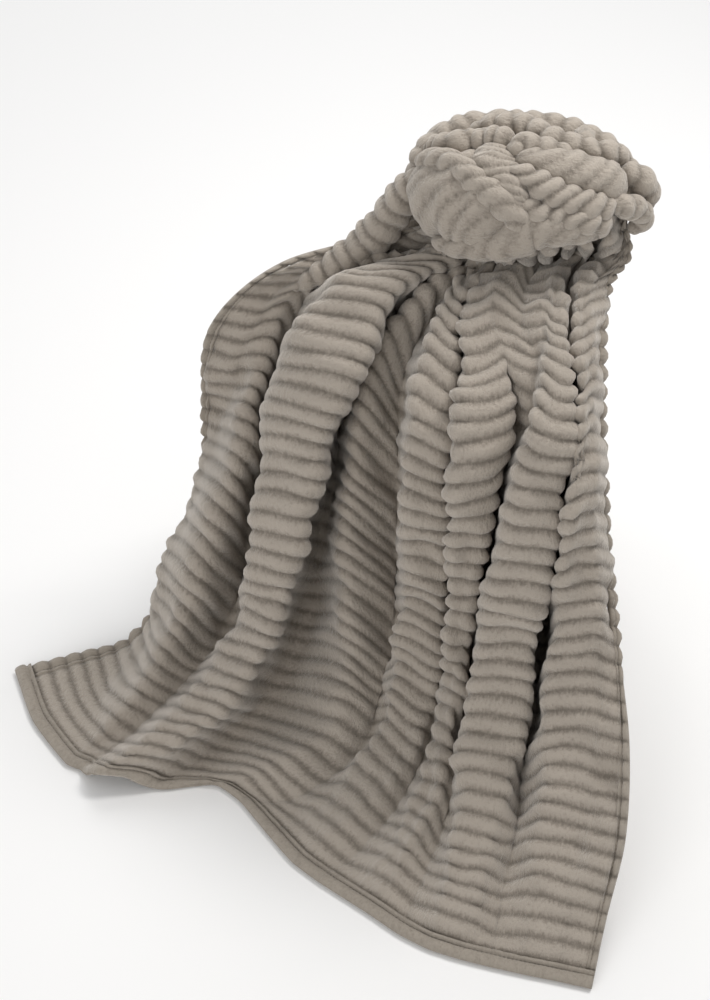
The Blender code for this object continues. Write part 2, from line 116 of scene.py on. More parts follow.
# Each fold line's side at the front of the neck, and its way up to there from the front hem
FRONT_FOLDS = (
    (CREST, (
        (-0.400, 0.015, 0.000), (-0.325, 0.045, 0.000), (-0.252, 0.072, 0.018), (-0.209, 0.112, 0.098),
        (-0.174, 0.140, 0.208), (-0.174, 0.148, 0.300), (-0.160, 0.150, 0.400), (-0.080, 0.165, 0.470),
    )),
    (VALLEY, (
        (-0.370, -0.070, 0.000), (-0.305, -0.022, 0.000), (-0.248, 0.018, 0.030), (-0.226, 0.060, 0.095),
        (-0.190, 0.100, 0.185), (-0.147, 0.124, 0.280), (-0.127, 0.128, 0.375), (-0.060, 0.162, 0.458),
    )),
    (CREST, (
        (-0.325, -0.140, 0.000), (-0.275, -0.085, 0.015), (-0.235, -0.040, 0.050), (-0.195, -0.010, 0.110),
        (-0.165, 0.015, 0.190), (-0.130, 0.055, 0.280), (-0.102, 0.125, 0.365), (-0.048, 0.158, 0.452),
    )),
    (VALLEY, (
        (-0.308, -0.150, 0.000), (-0.248, -0.098, 0.010), (-0.190, -0.035, 0.030), (-0.145, 0.030, 0.060),
        (-0.120, 0.085, 0.130), (-0.105, 0.135, 0.220), (-0.085, 0.175, 0.310), (-0.035, 0.180, 0.430),
    )),
    (CREST, (
        (-0.288, -0.178, 0.020), (-0.245, -0.160, 0.042), (-0.185, -0.105, 0.070), (-0.135, -0.065, 0.130),
        (-0.115, -0.045, 0.220), (-0.105, -0.005, 0.310), (-0.090, 0.035, 0.400), (-0.025, 0.075, 0.500),
    )),
    (CREST, (
        (-0.258, -0.178, 0.016), (-0.205, -0.155, 0.044), (-0.135, -0.120, 0.080), (-0.095, -0.085, 0.140),
        (-0.065, -0.060, 0.230), (-0.045, -0.030, 0.320), (-0.005, 0.000, 0.430), (0.045, 0.060, 0.500),
    )),
    (VALLEY, (
        (-0.210, -0.180, 0.000), (-0.145, -0.110, 0.010), (-0.090, -0.045, 0.030), (-0.060, 0.010, 0.080),
        (-0.045, 0.050, 0.145), (-0.028, 0.085, 0.235), (0.000, 0.095, 0.355), (0.060, 0.110, 0.455),
    )),
    (CREST, (
        (-0.158, -0.172, 0.000), (-0.095, -0.172, 0.025), (-0.030, -0.140, 0.050), (-0.010, -0.085, 0.095),
        (-0.012, -0.040, 0.175), (-0.008, 0.005, 0.290), (0.016, 0.050, 0.405), (0.074, 0.084, 0.482),
    )),
    (VALLEY, (
        (-0.128, -0.198, 0.000), (-0.066, -0.205, 0.010), (0.000, -0.160, 0.030), (0.036, -0.080, 0.075),
        (0.048, -0.005, 0.150), (0.050, 0.035, 0.270), (0.056, 0.070, 0.390), (0.100, 0.105, 0.462),
    )),
    (CREST, (
        (-0.098, -0.245, 0.000), (-0.045, -0.235, 0.014), (0.010, -0.180, 0.045),
        (0.041, -0.122, 0.090), (0.049, -0.100, 0.160), (0.055, -0.090, 0.250),
        (0.055, -0.080, 0.350), (0.060, -0.050, 0.425), (0.098, 0.060, 0.498),
    )),
    (CREST, (
        (-0.068, -0.290, 0.000), (-0.020, -0.262, 0.018), (0.045, -0.200, 0.045),
        (0.083, -0.130, 0.090), (0.092, -0.106, 0.160), (0.096, -0.094, 0.250),
        (0.094, -0.080, 0.345), (0.098, -0.050, 0.420), (0.112, 0.062, 0.495),
    )),
    (VALLEY, (
        (-0.040, -0.318, 0.000), (0.005, -0.285, 0.010), (0.060, -0.210, 0.032), (0.095, -0.115, 0.078),
        (0.105, -0.040, 0.150), (0.106, 0.000, 0.270), (0.104, 0.045, 0.390), (0.122, 0.105, 0.462),
    )),
    (CREST, (
        (-0.012, -0.342, 0.000), (0.030, -0.305, 0.020), (0.070, -0.235, 0.052),
        (0.093, -0.162, 0.105), (0.102, -0.136, 0.185), (0.104, -0.120, 0.270),
        (0.102, -0.110, 0.370), (0.106, -0.075, 0.436), (0.128, 0.060, 0.500),
    )),
    (CREST, (
        (0.015, -0.365, 0.000), (0.048, -0.318, 0.024), (0.085, -0.250, 0.055),
        (0.108, -0.175, 0.105), (0.118, -0.145, 0.175), (0.130, -0.125, 0.265),
        (0.146, -0.105, 0.360), (0.156, -0.060, 0.440), (0.148, 0.058, 0.504),
    )),
    (VALLEY, (
        (0.045, -0.392, 0.000), (0.072, -0.335, 0.016), (0.100, -0.255, 0.042),
        (0.122, -0.150, 0.078), (0.134, -0.080, 0.145), (0.146, -0.050, 0.260),
        (0.164, -0.062, 0.375), (0.184, -0.055, 0.452), (0.180, 0.052, 0.504),
    )),
    (CREST, (
        (0.075, -0.412, 0.000), (0.095, -0.358, 0.030), (0.112, -0.290, 0.070),
        (0.120, -0.215, 0.120), (0.136, -0.178, 0.215), (0.150, -0.160, 0.310),
        (0.164, -0.138, 0.395), (0.192, -0.090, 0.465), (0.206, 0.045, 0.508),
    )),
    (CREST, (
        (0.105, -0.425, 0.000), (0.125, -0.372, 0.028), (0.150, -0.300, 0.068),
        (0.172, -0.230, 0.115), (0.188, -0.190, 0.200), (0.202, -0.160, 0.310),
        (0.214, -0.132, 0.393), (0.224, -0.085, 0.460), (0.216, 0.046, 0.506),
    )),
    (VALLEY, (
        (0.138, -0.436, 0.000), (0.150, -0.375, 0.014), (0.170, -0.290, 0.045),
        (0.192, -0.170, 0.085), (0.208, -0.065, 0.150), (0.218, -0.010, 0.260),
        (0.226, 0.010, 0.370), (0.230, 0.000, 0.440), (0.226, 0.080, 0.480),
    )),
    (CREST, (
        (0.172, -0.446, 0.000), (0.182, -0.388, 0.026), (0.194, -0.315, 0.070),
        (0.206, -0.245, 0.130), (0.210, -0.200, 0.195), (0.214, -0.172, 0.300),
        (0.222, -0.150, 0.398), (0.232, -0.095, 0.455), (0.236, 0.046, 0.505),
    )),
    (CREST, (
        (0.206, -0.455, 0.000), (0.220, -0.398, 0.030), (0.238, -0.332, 0.080),
        (0.252, -0.258, 0.145), (0.253, -0.205, 0.225), (0.246, -0.160, 0.320),
        (0.243, -0.125, 0.410), (0.246, -0.065, 0.462), (0.248, 0.048, 0.503),
    )),
    (CREST, (
        (0.240, -0.465, 0.000), (0.260, -0.395, 0.030), (0.280, -0.340, 0.090), (0.285, -0.265, 0.160),
        (0.275, -0.185, 0.230), (0.265, -0.105, 0.310), (0.260, -0.025, 0.410), (0.270, 0.080, 0.485),
    )),
)


# The relief of the cloth
RIB_ROWS = (0.0, 0.14, 0.37, 0.63, 0.86)    # where across a rib the mesh has a row
HIDDEN_RIB_ROWS = (0.0, 0.50)        # the same inside the bundle
REAR_RIB_ROWS = (0.0, 0.30, 0.70)    # the same behind it
PLAIN_RIB = 0.6                      # how light pile without ribs is, as a height on a rib: its place between the painted groove shade and the crest colour

# Where the ribs run askew: (s, t, reach in s, reach in t, how far they slip along the throw)
SLIPS = (
    (0.530, 0.480, 0.120, 0.200, -0.028), (0.370, 0.560, 0.090, 0.160, 0.012),
    (0.700, 0.200, 0.070, 0.070, 0.016), (0.980, 0.130, 0.080, 0.060, -0.012),
    (0.910, 0.640, 0.055, 0.140, 0.064), (0.560, 0.170, 0.090, 0.080, 0.012),
    (0.210, 0.300, 0.100, 0.120, -0.010),
)
SLIP_EASE = 0.07                     # the slip fades out over this much of the cloth at its edges


def blend(pair: tuple, share: float) -> float:
    """Mix a pair of values.

    Args:
        pair: The two values.
        share: How far to go from the first to the second.

    Returns:
        The value in between.
    """
    return pair[0] + (pair[1] - pair[0]) * share


def hermite(
    start: np.ndarray, end: np.ndarray, slope: np.ndarray, next_slope: np.ndarray, share: np.ndarray
) -> np.ndarray:
    """Read a cubic Hermite span.

    Args:
        start: The point where the span starts.
        end: The point where it ends.
        slope: The tangent at the start.
        next_slope: The tangent at the end.
        share: How far along the span to read, from 0 to 1.

    Returns:
        The points read.
    """
    squared = share**2
    cubed = share**3
    rise = (2 * cubed - 3 * squared + 1) * start + (cubed - 2 * squared + share) * slope
    return rise + (3 * squared - 2 * cubed) * end + (cubed - squared) * next_slope


def smooth_curve(points: np.ndarray, steps: int) -> np.ndarray:
    """Read points from a Catmull-Rom curve.

    Args:
        points: The curve's own points.
        steps: How many points to read in each span.

    Returns:
        The points read, the last one included.
    """
    padded = np.vstack([2 * points[0] - points[1], points, 2 * points[-1] - points[-2]])
    shares = np.linspace(0.0, 1.0, steps, endpoint=False)[:, None]
    spans = []
    for before, start, end, after in zip(padded, padded[1:], padded[2:], padded[3:]):
        spans.append(hermite(start, end, (end - before) / 2, (after - start) / 2, shares))
    return np.vstack([*spans, points[-1:]])


def unit(vectors: np.ndarray) -> np.ndarray:
    """Scale vectors to length 1.

    Args:
        vectors: Vectors along the last axis.

    Returns:
        The same directions at length 1.
    """
    return vectors / np.maximum(np.linalg.norm(vectors, axis=-1, keepdims=True), 1e-12)


@dataclass(frozen=True)
class Ripple:
    """Smooth unevenness over two coordinates, from a few crossing waves."""

    depth: float
    wavelength: float                # the typical distance between two bumps, in metres
    seed: int
    waves: int = 7

    def over(self, first: np.ndarray, second: np.ndarray) -> np.ndarray:
        """Read the unevenness.

        Args:
            first: The first coordinate, in metres.
            second: The second coordinate, in metres.

        Returns:
            Values of about -depth to depth.
        """
        draw = np.random.default_rng(self.seed)
        total = np.zeros(np.broadcast(first, second).shape)
        for _ in range(self.waves):
            heading = draw.uniform(0, 2 * math.pi)
            rate = 2 * math.pi / (self.wavelength * draw.uniform(0.6, 1.6))
            phase = draw.uniform(0, 2 * math.pi)
            total += np.sin(rate * (first * math.cos(heading) + second * math.sin(heading)) + phase)
        return self.depth * (total / math.sqrt(self.waves))


SLIP_RIPPLES = (Ripple(0.0035, 0.20, seed=21), Ripple(0.0012, 0.06, seed=22))


def slip(s: np.ndarray, t: np.ndarray) -> np.ndarray:
    """How far the ribs slip along the throw, which is nothing at its edges.

    Args:
        s: Places across the throw.
        t: Places along it.

    Returns:
        The slip in metres.
    """
    total = SLIP_RIPPLES[0].over(s, t) + SLIP_RIPPLES[1].over(s, t)
    for place_s, place_t, reach_s, reach_t, amount in SLIPS:
        total = total + amount * np.exp(-(((s - place_s) / reach_s) ** 2) - ((t - place_t) / reach_t) ** 2)
    inset = np.minimum(np.minimum(s, THROW_WIDTH - s), np.minimum(t, THROW_LENGTH - t)) - HEM_WIDTH
    ease = np.clip(inset / SLIP_EASE, 0.0, 1.0)
    return total * ease**2 * (3 - 2 * ease)


def rib_profile(along: np.ndarray, puffed: np.ndarray | float = 1.0) -> np.ndarray:
    """The outline of the ribs.

    Args:
        along: Distance across the ribs, counted in ribs; whole numbers are grooves.
        puffed: 1 for round ribs with sharp grooves between them, 0 for soft waves.

    Returns:
        The height, from 0 in a groove to 1 on a crest.
    """
    wave = np.abs(np.sin(math.pi * along))
    return puffed * wave**0.85 + (1 - puffed) * wave**1.7


class DrapedSheet:
    """The middle surface of the cloth, over its fold lines."""

    def __init__(self) -> None:
        """Lay out the fold lines."""
        self.lines = [self._fold_line(index) for index in range(len(FRONT_FOLDS))]
        self.fold_s = np.linspace(0.0, THROW_WIDTH, len(self.lines))
        self.rounds = np.array(FOLD_ROUND)[:, None]

    @staticmethod
    def _neck_point(across: float, side: Side, rear: bool) -> tuple:
        """Where a fold line passes the neck.

        Args:
            across: The line's share of the width, from the left.
            side: CREST or VALLEY.
            rear: True behind the bundle.

        Returns:
            The point.
        """
        inward = NECK_PLEAT[0] * (side == VALLEY)
        wrap = NECK_WRAP[0] * max(0.0, 1 - across / NECK_WRAP[1]) ** 2
        y = NECK_Y[1] - inward if rear else NECK_Y[0] + wrap + inward
        return (blend(NECK_X, across), y, NECK_Z - NECK_PLEAT[1] * (side == VALLEY))

    @staticmethod
    def _bundle_points(across: float, side: Side) -> list:
        """A fold line's way over the bundle.

        Args:
            across: The line's share of the width, from the left.
            side: CREST or VALLEY.

        Returns:
            The points, front to rear.
        """
        roundness = math.sqrt(1 - (2 * across - 1) ** 2)
        share = BUNDLE_END + (1 - BUNDLE_END) * roundness
        depth = BUNDLE_RADII[0] * share + BUNDLE_PLEAT * side
        height = BUNDLE_RADII[1] * share + BUNDLE_PLEAT * side
        points = []
        for turn in np.radians(BUNDLE_TURN):
            y = BUNDLE_Y - depth * math.cos(turn)
            points.append((blend(BUNDLE_X, across), y, BUNDLE_Z + height * math.sin(turn)))
        return points

    @staticmethod
    def _rear_points(across: float, lean: float) -> list:
        """A fold line's fall behind the bundle.

        Args:
            across: The line's share of the width, from the left.
            lean: How far the line leans back, as a share of the fold's depth.

        Returns:
            The points, from below the neck to the rear hem.
        """
        points = []
        for y, z in REAR_PROFILE:
            fall = 1 - z / NECK_Z
            x = blend((blend(NECK_X, across), blend(REAR_X, across)), fall)
            points.append((x, y + REAR_FOLD * lean * (NECK_SWING + (1 - NECK_SWING) * fall), z))
        return points

    def _fold_line(self, index: int) -> tuple[np.ndarray, np.ndarray]:
        """The whole way of one fold line.

        Args:
            index: The line's place, from the left.

        Returns:
            Its points, and the length of the line up to each.
        """
        front_side, front = FRONT_FOLDS[index]
        # Over the bundle and behind it, the lines are crests and valleys in turn
        side = VALLEY if index % 2 else CREST
        across = index / (len(FRONT_FOLDS) - 1)
        way = [*front, self._neck_point(across, front_side, False), *self._bundle_points(across, side)]
        way += [self._neck_point(across, side, True), *self._rear_points(across, REAR_LEAN[index])]
        curve = smooth_curve(np.array(way), CURVE_STEPS)
        steps = np.linalg.norm(np.diff(curve, axis=0), axis=1)
        return curve, np.concatenate([[0.0], np.cumsum(steps)])

    def surface(self, s: np.ndarray, t: np.ndarray) -> np.ndarray:
        """Read the sheet.

        Args:
            s: The columns' places across the throw, one for each column.
            t: The rows' places along it: one for each row, or rows by fold lines.

        Returns:
            Points, as rows by columns by 3.
        """
        place = np.interp(s, self.fold_s, np.arange(len(self.fold_s)))
        span = np.minimum(place.astype(int), len(self.fold_s) - 2)
        share = (place - span)[None, :, None]
        t = np.broadcast_to(t if t.ndim == 2 else t[:, None], (len(t), len(s)))
        before, start, end, after = (self._knots(span + step, t) for step in (-1, 0, 1, 2))
        chord = np.linalg.norm(end - start, axis=-1, keepdims=True)
        slope = unit(end - before) * chord * self.rounds[span]
        next_slope = unit(after - start) * chord * self.rounds[span + 1]
        points = hermite(start, end, slope, next_slope, share)
        points[..., :2] += DRAPE_SHIFT
        lift_off = np.clip((points[..., 2] - FLOOR_SNAP) / FLOOR_EASE, 0.0, 1.0)
        points[..., 2] = np.maximum(points[..., 2], 0.0) * lift_off + MID_HEIGHT
        return points

    def _knots(self, lines: np.ndarray, t: np.ndarray) -> np.ndarray:
        """Where the cloth crosses one fold line for each column.

        Args:
            lines: The fold line of each column; one past either edge stands for the edge's own.
            t: The places along the throw, rows by columns.

        Returns:
            Points, as rows by columns by 3.
        """
        lines = np.clip(lines, 0, len(self.lines) - 1)
        knots = np.empty((*t.shape, 3))
        for index in np.unique(lines):
            curve, ways = self.lines[index]
            chosen = lines == index
            length = ways[-1]
            known_t = (0.0, FRONT_LENGTH, THROW_LENGTH - REAR_LENGTH, THROW_LENGTH)
            known_way = (0.0, FRONT_LENGTH, length - REAR_LENGTH, length)
            way = np.interp(t[:, chosen], known_t, known_way)
            for axis in range(3):
                knots[:, chosen, axis] = np.interp(way, ways, curve[:, axis])
        return knots


def grid_normals(points: np.ndarray) -> np.ndarray:
    """The outward normals of a grid of points.

    Args:
        points: Rows by columns by 3.

    Returns:
        The normals, of the same shape.
    """
    across = np.gradient(points, axis=1)
    along = np.gradient(points, axis=0)
    return unit(np.cross(across, along))


def cloth_build() -> bmesh.types.BMesh:
    """Start a mesh with a UV map "cloth" and an attribute "rib", which also sets how much painted groove shade
    the pile shows.

    Returns:
        The empty mesh.
    """
    build = bmesh.new()
    build.loops.layers.uv.new("cloth")
    build.verts.layers.float.new("rib")
    return build


def lay_grid(build: bmesh.types.BMesh, points: np.ndarray, flat: np.ndarray, rib: np.ndarray) -> list:
    """Add a grid of the flat cloth and drape it.

    Args:
        build: The mesh being built.
        points: Where its points go, rows by columns by 3.
        flat: The place of each point on the flat cloth, rows by columns by 2.
        rib: How high on its rib each point is, rows by columns.

    Returns:
        The grid's faces.
    """
    rows, columns = points.shape[:2]
    verts = bmesh.ops.create_grid(build, x_segments=columns - 1, y_segments=rows - 1, size=0.5)["verts"]
    high = build.verts.layers.float["rib"]
    cloth = build.loops.layers.uv["cloth"]
    for vert, point, height in zip(verts, points.reshape(-1, 3), rib.ravel()):
        vert.co = point
        vert[high] = height
    build.faces.ensure_lookup_table()
    faces = build.faces[len(build.faces) - (rows - 1) * (columns - 1):]
    places = dict(zip(verts, flat.reshape(-1, 2)))
    for face in faces:
        for loop in face.loops:
            loop[cloth].uv = places[loop.vert]
    return faces


def finished_mesh(build: bmesh.types.BMesh, name: str) -> bpy.types.Mesh:
    """Turn a build into a smooth mesh.

    Args:
        build: The mesh being built.
        name: The mesh's name.

    Returns:
        The mesh.
    """
    mesh = bpy.data.meshes.new(name)
    build.to_mesh(mesh)
    build.free()
    mesh.shade_smooth()
    return mesh


def closed_sheet_mesh(
    name: str, outer: np.ndarray, inner: np.ndarray, uv: np.ndarray, rib: np.ndarray
) -> bpy.types.Mesh:
    """A closed mesh between two matching grids.

    Args:
        name: The mesh's name.
        outer: The outer face's points, rows by columns by 3.
        inner: The inner face's points, of the same shape.
        uv: The place of each point on the flat cloth, rows by columns by 2.
        rib: How high on its rib each outer point is, rows by columns.

    Returns:
        The mesh.
    """
    build = cloth_build()
    lay_grid(build, outer, uv, rib)
    bmesh.ops.reverse_faces(build, faces=lay_grid(build, inner, uv, np.full(rib.shape, PLAIN_RIB)))
    rim = bmesh.ops.bridge_loops(build, edges=[edge for edge in build.edges if edge.is_boundary])["faces"]
    cloth = build.loops.layers.uv["cloth"]
    for face in rim:
        for loop in face.loops:
            beside = next(other for other in loop.vert.link_loops if other.face not in rim)
            loop[cloth].uv = beside[cloth].uv
    return finished_mesh(build, name)


def add_piece(name: str, mesh: bpy.types.Mesh, material: bpy.types.Material) -> bpy.types.Object:
    """Put a finished mesh in the scene, riding on the throw.

    Args:
        name: The piece's name.
        mesh: Its mesh, in place.
        material: Its material.

    Returns:
        The object.
    """
    mesh.materials.append(material)
    piece = bpy.data.objects.new(name, mesh)
    bpy.context.scene.collection.objects.link(piece)
    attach(piece, "throw")
    LOG.info("%s: %d faces", name, len(mesh.polygons))
    return piece


@dataclass
class RibbedPanel:
    """The ribbed panel inside the hems."""

    sheet: DrapedSheet
    columns_a_fold: int = 8
    flat_rib: float = 0.0027         # a rib's height where the cloth is flat
    ridge_rib: float = 0.0060        # on the crest of a fold, where the ribs spread open
    hollow_rib: float = 0.0024       # in a valley, where they are pressed together
    flat_puff: float = 0.35          # how puffed the ribs are where the cloth is flat
    sharp_turn: float = 55.0         # how bent the cloth is, in 1/m, where it counts as a crest
    groove_outside: float = 0.0010   # the outer face over the middle surface, in a groove
    inside_depth: float = 0.0030     # the inner face under the middle surface, in a groove
    inside_follow: float = 0.0012    # how much less that is under the top of a rib
    floor_gap: float = 0.0002        # the least height of the inner face
    uneven: tuple = (Ripple(0.20, 0.05, seed=3), Ripple(0.10, 0.022, seed=4))
    sway: tuple = (Ripple(0.0040, 0.13, seed=5), Ripple(0.0020, 0.06, seed=6))
    sway_from: float = 0.01          # the middle surface sways above this height
    sway_ease: float = 0.05          # and sways in full this much higher

    def rows(self) -> np.ndarray:
        """The rows' places along the throw, so that every groove has a row."""
        low = HEM_WIDTH + SEAM_GAP
        high = THROW_LENGTH - low
        places = []
        for rib in range(RIB_COUNT):
            start = low + RIB_PITCH * rib
            shares = RIB_ROWS if start < FRONT_LENGTH else HIDDEN_RIB_ROWS
            if start > THROW_LENGTH - REAR_LENGTH:
                shares = REAR_RIB_ROWS
            places += [start + RIB_PITCH * share for share in shares]
        return np.array([place for place in places if place < high - LEAST_ROW] + [high])

    @staticmethod
    def _turn(points: np.ndarray, normals: np.ndarray) -> np.ndarray:
        """How sharply the cloth turns across the folds.

        Args:
            points: The middle surface, rows by columns by 3.
            normals: Its normals.

        Returns:
            The curvature in 1/m, positive on a crest, rows by columns.
        """
        step = np.gradient(points, axis=1)
        bend = np.gradient(step, axis=1)
        length = np.maximum((step**2).sum(axis=-1), 1e-6)
        turn = -(bend * normals).sum(axis=-1) / length
        for _ in range(2):
            turn[:, 1:-1] = (turn[:, :-2] + 2 * turn[:, 1:-1] + turn[:, 2:]) / 4
            turn[1:-1] = (turn[:-2] + 2 * turn[1:-1] + turn[2:]) / 4
        return turn

    def build(self, material: bpy.types.Material) -> bpy.types.Object:
        """Build the panel.

        Args:
            material: The pile fabric.

        Returns:
            The object.
        """
        low = HEM_WIDTH + SEAM_GAP
        edge = HEM_WIDTH - HEM_TUCK
        t = np.concatenate([[edge], self.rows(), [THROW_LENGTH - edge]])
        s = np.linspace(edge, THROW_WIDTH - edge, (len(FRONT_FOLDS) - 1) * self.columns_a_fold + 1)
        s_grid, t_grid = np.meshgrid(s, t)
        middle = self.sheet.surface(s, t_grid + slip(s_grid, t_grid))
        normals = grid_normals(middle)
        for _ in range(3):
            normals[1:-1] = unit(normals[:-2] + 2 * normals[1:-1] + normals[2:])
        turn = self._turn(middle, normals)
        ridge = np.clip(turn / self.sharp_turn, 0.0, 1.0)
        hollow = np.clip(-turn / self.sharp_turn, 0.0, 1.0)
        rib = rib_profile((t_grid - low) / RIB_PITCH, self.flat_puff + (1 - self.flat_puff) * ridge)
        height = self.flat_rib + (self.ridge_rib - self.flat_rib) * ridge
        height = height + (self.hollow_rib - self.flat_rib) * hollow
        height = height * (1 + self.uneven[0].over(s_grid, t_grid) + self.uneven[1].over(s_grid, t_grid))
        sway = self.sway[0].over(s_grid, t_grid) + self.sway[1].over(s_grid, t_grid)
        free = np.clip((middle[..., 2] - self.sway_from) / self.sway_ease, 0.0, 1.0)
        middle = middle + normals * (sway * free)[..., None]
        outer = middle + normals * (self.groove_outside + height * rib)[..., None]
        inner = middle - normals * (self.inside_depth - self.inside_follow * rib)[..., None]
        inner[..., 2] = np.maximum(inner[..., 2], self.floor_gap)
        uv = np.stack([s_grid, t_grid], axis=-1)
        mesh = closed_sheet_mesh("ribbed_panel", outer, inner, uv, rib)
        panel = add_piece("ribbed_panel", mesh, material)
        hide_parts("throw_panel")
        return panel


class Edge(Enum):
    """The four edges of the throw."""

    FRONT = "front"
    REAR = "rear"
    LEFT = "left"
    RIGHT = "right"


# A hem's outline, from its outer edge inwards: (share of its width, outer face's height, inner face's depth)
HEM_OUTLINE = (
    (0.00, 0.0000, 0.0000), (0.03, 0.0022, 0.0018), (0.12, 0.0042, 0.0032), (0.30, 0.0056, 0.0038),
    (0.48, 0.0058, 0.0038), (0.62, 0.0048, 0.0036), (0.72, 0.0022, 0.0030), (0.78, 0.0018, 0.0030),
    (0.86, 0.0040, 0.0034), (1.00, 0.0046, 0.0030),
)


@dataclass
class Hem:
    """One turned and stitched edge."""

    sheet: DrapedSheet
    edge: Edge
    columns: int = 239               # of the front and the rear hem
    plain_rib: float = 0.7           # how light these two are, as a height on a rib between the painted groove shade and the crest colour
    groove_share: float = 0.45       # a side hem's height in a groove, as a share of the outline's
    rib_share: float = 0.85          # what a rib adds to that
    pucker: Ripple = Ripple(0.10, 0.018, seed=11)

    def _stretch(self) -> tuple[np.ndarray, np.ndarray]:
        """The places of the hem's columns and rows on the flat throw."""
        cross = HEM_WIDTH * np.array([share for share, _, _ in HEM_OUTLINE])
        full = np.linspace(0.0, THROW_WIDTH, self.columns)
        inner = HEM_WIDTH + SEAM_GAP
        ribs = np.arange(RIB_COUNT)
        along = (inner + RIB_PITCH * (ribs[:, None] + np.array(RIB_ROWS))).ravel()
        along = np.append(along[along < THROW_LENGTH - inner - LEAST_ROW], THROW_LENGTH - inner)
        if self.edge is Edge.FRONT:
            return full, cross
        if self.edge is Edge.REAR:
            return full, THROW_LENGTH - cross[::-1]
        if self.edge is Edge.LEFT:
            return cross, along
        return THROW_WIDTH - cross[::-1], along

    def build(self, material: bpy.types.Material) -> bpy.types.Object:
        """Build the hem.

        Args:
            material: The hem fabric.

        Returns:
            The object.
        """
        s, t = self._stretch()
        middle = self.sheet.surface(s, t)
        normals = grid_normals(middle)
        s_grid, t_grid = np.meshgrid(s, t)
        outline = np.array(HEM_OUTLINE)
        sideways = self.edge in (Edge.LEFT, Edge.RIGHT)
        if self.edge in (Edge.REAR, Edge.RIGHT):
            outline = outline[::-1]
        high = outline[:, 1][None, :] if sideways else outline[:, 1][:, None]
        deep = outline[:, 2][None, :] if sideways else outline[:, 2][:, None]
        high = np.broadcast_to(high, s_grid.shape).copy()
        deep = np.broadcast_to(deep, s_grid.shape).copy()
        rib = np.full(s_grid.shape, self.plain_rib)
        if sideways:
            # the side hems' ribs also set their painted groove shade
            rib = rib_profile((t_grid - HEM_WIDTH - SEAM_GAP) / RIB_PITCH)
            high *= self.groove_share + self.rib_share * rib
        outer = middle + normals * (high * (1 + self.pucker.over(s_grid, t_grid)))[..., None]
        inner = middle - normals * deep[..., None]
        inner[..., 2] = np.maximum(inner[..., 2], 0.0)
        uv = np.stack([s_grid, t_grid], axis=-1)
        name = f"turned_hem_{self.edge.value}"
        hem = add_piece(name, closed_sheet_mesh(name, outer, inner, uv, rib), material)
        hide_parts(f"hem_{self.edge.value}")
        return hem


@dataclass(frozen=True)
class Stitch:
    """The shape of one stitch."""

    pitch: float = 0.0046
    length: float = 0.0034
    radius: float = 0.00055
    lift: float = 0.0024             # its middle over the middle surface of the cloth


@dataclass
class Stitching:
    """A row of stitches along one hem."""

    sheet: DrapedSheet
    edge: Edge
    stitch: Stitch
    share: float = 0.75              # where across the hem it runs
    reach: float = 0.002             # how far to either side the cloth's slope is taken
    spacing: float = 0.0012          # from point to point along the seam
    start: float = 0.002             # how far along the seam the first stitch is

    def _seam(self) -> tuple[np.ndarray, np.ndarray]:
        """The seam's points on the middle surface, close together, and the normals there."""
        sideways = self.edge in (Edge.LEFT, Edge.RIGHT)
        length, width = (THROW_LENGTH, THROW_WIDTH) if sideways else (THROW_WIDTH, THROW_LENGTH)
        along = np.arange(HEM_WIDTH, length - HEM_WIDTH, self.spacing)
        inset = HEM_WIDTH * self.share
        if self.edge in (Edge.REAR, Edge.RIGHT):
            inset = width - inset
        cross = np.array([inset - self.reach, inset, inset + self.reach])
        s, t = (cross, along) if sideways else (along, cross)
        middle = self.sheet.surface(s, t)
        normals = grid_normals(middle)
        if sideways:
            return middle[:, 1], normals[:, 1]
        return middle[1], normals[1]

    def build(self, material: bpy.types.Material) -> bpy.types.Object:
        """Build the stitches as one piece.

        Args:
            material: The thread.

        Returns:
            The object.
        """
        line, normals = self._seam()
        line = line + normals * self.stitch.lift
        ways = np.concatenate([[0.0], np.cumsum(np.linalg.norm(np.diff(line, axis=0), axis=1))])
        build = bmesh.new()
        for start in np.arange(self.start, ways[-1] - self.stitch.length, self.stitch.pitch):
            ends = [
                Vector([np.interp(way, ways, line[:, axis]) for axis in range(3)])
                for way in (start, start + self.stitch.length)
            ]
            self._add_stitch(build, *ends)
        name = f"stitches_{self.edge.value}"
        piece = add_piece(name, finished_mesh(build, name), material)
        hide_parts(f"stitch_{self.edge.value}")
        return piece

    def _add_stitch(self, build: bmesh.types.BMesh, first: Vector, last: Vector) -> None:
        """Add one stitch.

        Args:
            build: The mesh being built.
            first: Where the stitch starts.
            last: Where it ends.
        """
        run = last - first
        made = bmesh.ops.create_icosphere(build, subdivisions=1, radius=self.stitch.radius)
        verts = made["verts"]
        bmesh.ops.scale(build, vec=(1.0, 1.0, run.length / (2 * self.stitch.radius)), verts=verts)
        turn = run.to_track_quat("Z", "Y").to_matrix()
        bmesh.ops.rotate(build, cent=(0, 0, 0), matrix=turn, verts=verts)
        bmesh.ops.translate(build, vec=(first + last) / 2, verts=verts)


@dataclass(frozen=True)
class FoldRoll:
    """One rolled fold of the gathered cloth."""

    name: str
    spine: tuple                     # points of (x, y, z, the roll's radius there)
    ribs: float = 1.0                # how strong the ribs are
    pitch: float = 0.020             # from rib to rib
    skew: float = 0.0                # how far the ribs run ahead round the roll, in ribs


